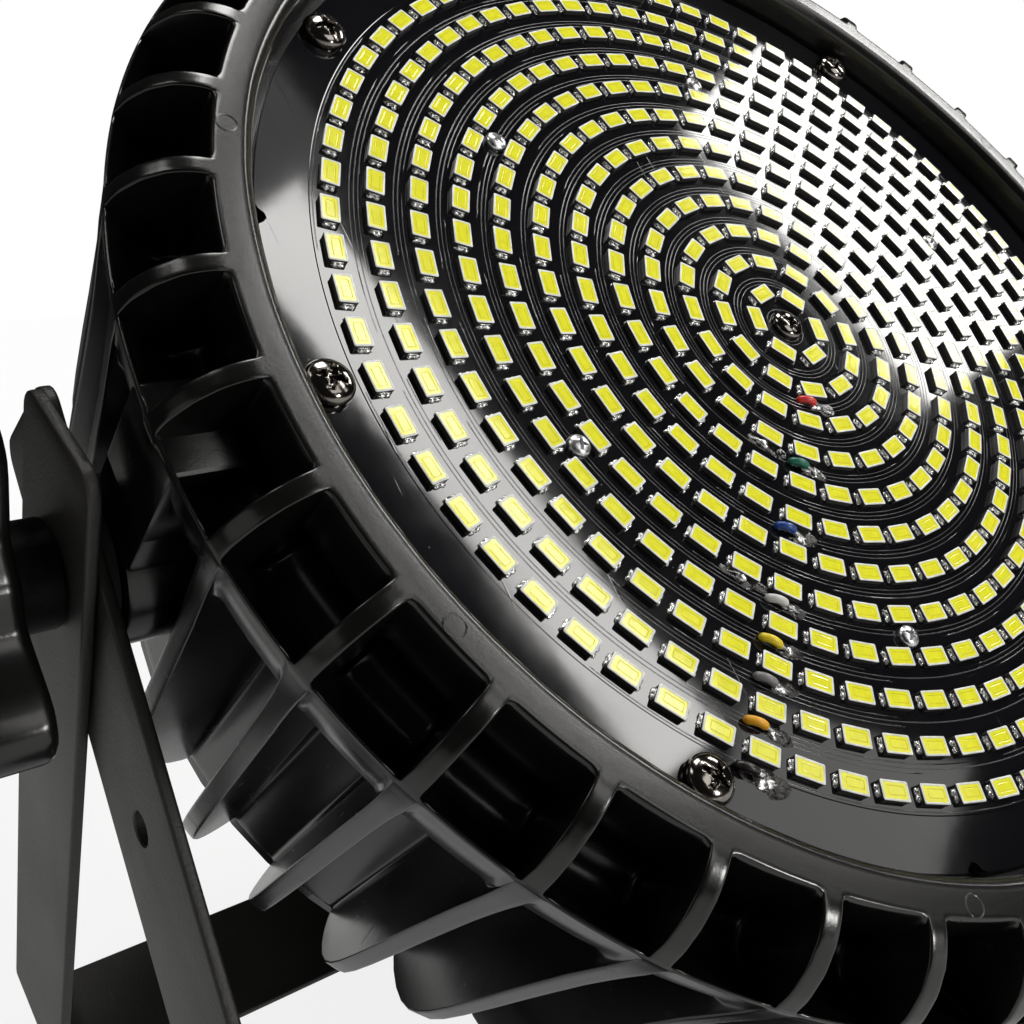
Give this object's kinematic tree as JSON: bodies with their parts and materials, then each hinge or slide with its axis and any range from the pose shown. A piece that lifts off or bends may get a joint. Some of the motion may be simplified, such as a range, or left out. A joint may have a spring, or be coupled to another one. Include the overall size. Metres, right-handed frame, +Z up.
{
  "type": "strobe light",
  "caption": "Round black strobe light: a finned can with rings of small yellow lamps on a glossy black board, held by two nested brackets and wing knobs",
  "frame": {"origin": "centre of the bounding box on the floor that both brackets stand on", "axes": "+X along the tilt axis, -Y the way the lamps face, +Z up; the head is stored raised 37.6 degrees above level"},
  "size_m": [0.2814, 0.2082, 0.2289],
  "materials": {
    "black_plastic": "satin moulded black",
    "board_gloss": "glossy black solder mask",
    "black_chrome": "dark polished plating",
    "bright_steel": "zinc plated",
    "brass": "plain",
    "rubber": "matt black",
    "bracket_paint": "fine matt powder coat",
    "aluminium": "as rolled",
    "green_board": "green solder mask",
    "case_steel": "zinc plated sheet",
    "display_lens": "dark red clear",
    "key_grey": "satin grey",
    "lamp_yellow": "clear phosphor resin",
    "lamp_white": "white lamp package",
    "solder": "bright solder",
    "wire_red": "insulation",
    "wire_green": "insulation",
    "wire_blue": "insulation",
    "wire_white": "insulation",
    "wire_yellow": "insulation",
    "wire_grey": "insulation",
    "wire_orange": "insulation"
  },
  "bodies": {
    "outer_bracket": {"outer_bracket": "bracket_paint"},
    "head": {"board_centre_screw": "black_chrome", "board_edge_screw_1": "black_chrome", "board_edge_screw_2": "black_chrome", "board_edge_screw_3": "black_chrome", "board_edge_screw_4": "black_chrome", "board_edge_screw_5": "black_chrome", "board_edge_screw_6": "black_chrome", "board_edge_screw_7": "black_chrome", "board_edge_screw_8": "black_chrome", "board_inner_screw_1": "bright_steel", "board_inner_screw_2": "bright_steel", "board_inner_screw_3": "bright_steel", "board_inner_screw_4": "bright_steel", "board_inner_screw_5": "bright_steel", "board_inner_screw_6": "bright_steel", "control_board": "green_board", "cover_screw_1": "bright_steel", "cover_screw_2": "bright_steel", "cover_screw_3": "bright_steel", "cover_screw_4": "bright_steel", "data_in_socket": "black_plastic", "data_out_socket": "black_plastic", "display_window": "display_lens", "driver_board": "green_board", "fuse_holder": "black_plastic", "head_shell": "black_plastic", "heat_spreader": "aluminium", "lamp_board": "board_gloss", "left_friction_washer": "rubber", "left_pivot_nut": "brass", "mains_inlet": "black_plastic", "power_supply": "case_steel", "rear_cover": "black_plastic", "right_friction_washer": "rubber", "right_pivot_nut": "brass", "sound_sensor": "key_grey"},
    "inner_bracket": {"inner_bracket": "bracket_paint"},
    "menu_button": {"menu_button": "key_grey"},
    "down_button": {"down_button": "key_grey"},
    "up_button": {"up_button": "key_grey"},
    "enter_button": {"enter_button": "key_grey"},
    "data_latch": {"data_out_latch": "bright_steel"},
    "fuse_cap": {"fuse_cap": "black_plastic"},
    "left_stud": {"left_stud": "bright_steel"},
    "right_stud": {"right_stud": "bright_steel"},
    "left_knob": {"left_knob": "black_plastic"},
    "right_knob": {"right_knob": "black_plastic"}
  },
  "joints": [
    {"name": "bracket_spread", "type": "hinge", "parent": "outer_bracket", "child": "inner_bracket", "pos_m": [0, -0.00291, 0.11513], "axis": [1, 0, 0], "range_deg": [-124.9, 55.1]},
    {"name": "head_tilt", "type": "hinge", "parent": "outer_bracket", "child": "head", "pos_m": [0, -0.00291, 0.11513], "axis": [1, 0, 0], "range_deg": [-142.4, 127.6]},
    {"name": "menu_press", "type": "slide", "parent": "head", "child": "menu_button", "axis": [0, -0.7923, 0.6101], "range_m": [0, 0.0006], "stiffness_N_per_m": 600, "springref_m": -0.001},
    {"name": "down_press", "type": "slide", "parent": "head", "child": "down_button", "axis": [0, -0.7923, 0.6101], "range_m": [0, 0.0006], "stiffness_N_per_m": 600, "springref_m": -0.001},
    {"name": "up_press", "type": "slide", "parent": "head", "child": "up_button", "axis": [0, -0.7923, 0.6101], "range_m": [0, 0.0006], "stiffness_N_per_m": 600, "springref_m": -0.001},
    {"name": "enter_press", "type": "slide", "parent": "head", "child": "enter_button", "axis": [0, -0.7923, 0.6101], "range_m": [0, 0.0006], "stiffness_N_per_m": 600, "springref_m": -0.001},
    {"name": "latch_press", "type": "slide", "parent": "head", "child": "data_latch", "axis": [0, -0.7923, 0.6101], "range_m": [0, 0.001], "stiffness_N_per_m": 500, "springref_m": -0.001},
    {"name": "fuse_cap_turn", "type": "hinge", "parent": "head", "child": "fuse_cap", "pos_m": [-0.034, 0.01616, 0.03229], "axis": [0, 0.7923, -0.6101], "range_deg": [0, 90]},
    {"name": "right_stud_travel", "type": "slide", "parent": "head", "child": "right_stud", "axis": [1, 0, 0], "range_m": [0, 0.0025]},
    {"name": "right_knob_turn", "type": "hinge", "parent": "right_stud", "child": "right_knob", "pos_m": [0.127, -0.00291, 0.11513], "axis": [1, 0, 0], "range_deg": [0, 720]},
    {"name": "left_stud_travel", "type": "slide", "parent": "head", "child": "left_stud", "axis": [-1, 0, 0], "range_m": [0, 0.0025]},
    {"name": "left_knob_turn", "type": "hinge", "parent": "left_stud", "child": "left_knob", "pos_m": [-0.127, -0.00291, 0.11513], "axis": [-1, 0, 0], "range_deg": [0, 720]}
  ],
  "couplings": [
    {"joint": "right_stud_travel", "follows": "right_knob_turn", "m_per_rad": 0.00019894},
    {"joint": "left_stud_travel", "follows": "left_knob_turn", "m_per_rad": 0.00019894}
  ]
}
